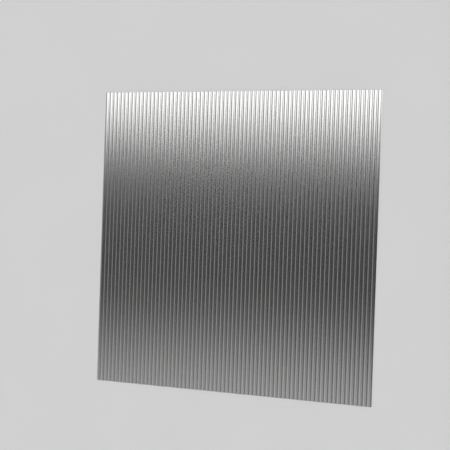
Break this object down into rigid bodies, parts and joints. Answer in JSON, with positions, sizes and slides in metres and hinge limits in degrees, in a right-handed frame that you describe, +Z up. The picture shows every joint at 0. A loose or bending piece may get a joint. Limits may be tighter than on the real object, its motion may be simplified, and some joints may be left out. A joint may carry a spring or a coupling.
{
  "type": "corrugated metal sheet",
  "caption": "Thin square metal sheet with fine, even waves running from end to end, plain sheared edges and a clean mill finish, stored lying flat.",
  "frame": {"origin": "under the middle of the sheet, at the level of the troughs it rests on", "axes": "+X across the waves, from the picture's left side edge to its right; +Y along the waves, from the picture's bottom edge to its top; +Z up out of the face that the picture shows"},
  "size_m": [1.0004, 1, 0.0028],
  "materials": {
    "sheet_metal": "satin mill finish, unpainted, clean, with the rolling direction along the waves"
  },
  "bodies": {
    "root": {"corrugated_sheet": "sheet_metal"}
  },
  "joints": []
}
